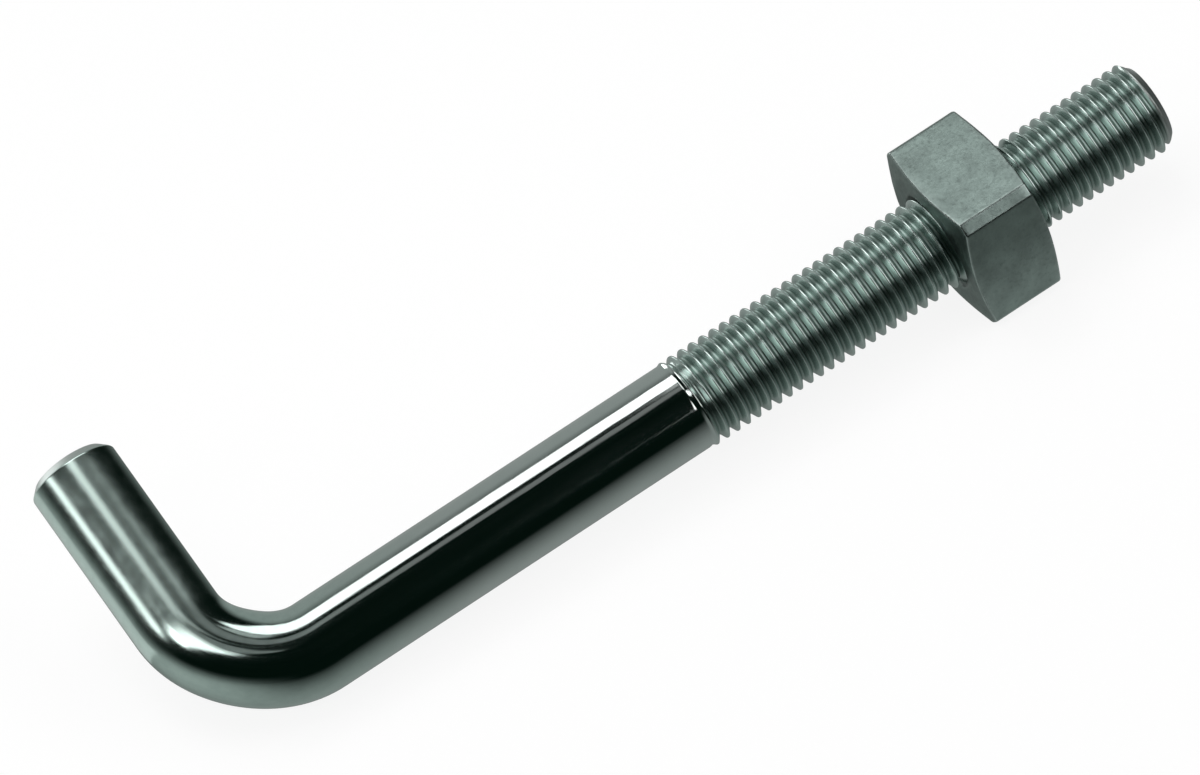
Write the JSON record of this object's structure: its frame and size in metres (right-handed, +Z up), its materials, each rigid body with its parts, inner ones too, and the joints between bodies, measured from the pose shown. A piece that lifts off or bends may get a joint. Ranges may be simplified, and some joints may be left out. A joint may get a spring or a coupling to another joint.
{
  "type": "hinge pin bolt",
  "caption": "L-shaped round steel bolt: a plain hinge pin, a bend and a long arm threaded to its tip, with one square nut on the thread.",
  "frame": {"origin": "on the hinge pin's axis, at the middle of its straight wall", "axes": "+Z up as the bolt lies, +X along the long arm seen from above, towards its threaded tip, +Y to the side that the hinge pin points to"},
  "size_m": [0.1834, 0.0564, 0.0336],
  "materials": {
    "bolt_steel": "bright zinc plate over drawn and rolled steel, glossy on the plain bar, duller in the thread",
    "nut_steel": "zinc plate over forged steel, satin, slightly mottled"
  },
  "bodies": {
    "bolt": {"bolt": "bolt_steel"},
    "nut": {"nut": "nut_steel"}
  },
  "joints": [
    {"name": "nut_travel", "type": "slide", "parent": "bolt", "child": "nut", "axis": [0.9993, 0, 0.0373], "range_m": [-0.044, 0.046]}
  ]
}
